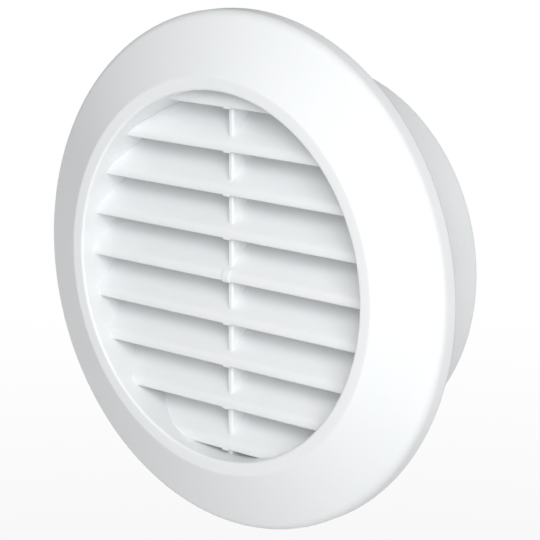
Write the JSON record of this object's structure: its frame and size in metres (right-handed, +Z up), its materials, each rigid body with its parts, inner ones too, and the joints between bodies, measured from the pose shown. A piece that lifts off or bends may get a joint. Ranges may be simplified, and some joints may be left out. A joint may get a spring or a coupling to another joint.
{
  "type": "round door vent grille",
  "caption": "Round louvred vent grille for a door: a conical flange with a recessed, slatted opening and a collar that plugs into a round hole.",
  "frame": {"origin": "on the collar's axis, in the plane of the door's face, where the flange's rim rests", "axes": "+Y runs along the collar into the door, -Y faces the room, +Z is up with the slats level along X"},
  "size_m": [0.058, 0.0187, 0.058],
  "materials": {
    "white_plastic": "satin moulded white plastic"
  },
  "bodies": {
    "root": {"vent_grille": "white_plastic"}
  },
  "joints": []
}
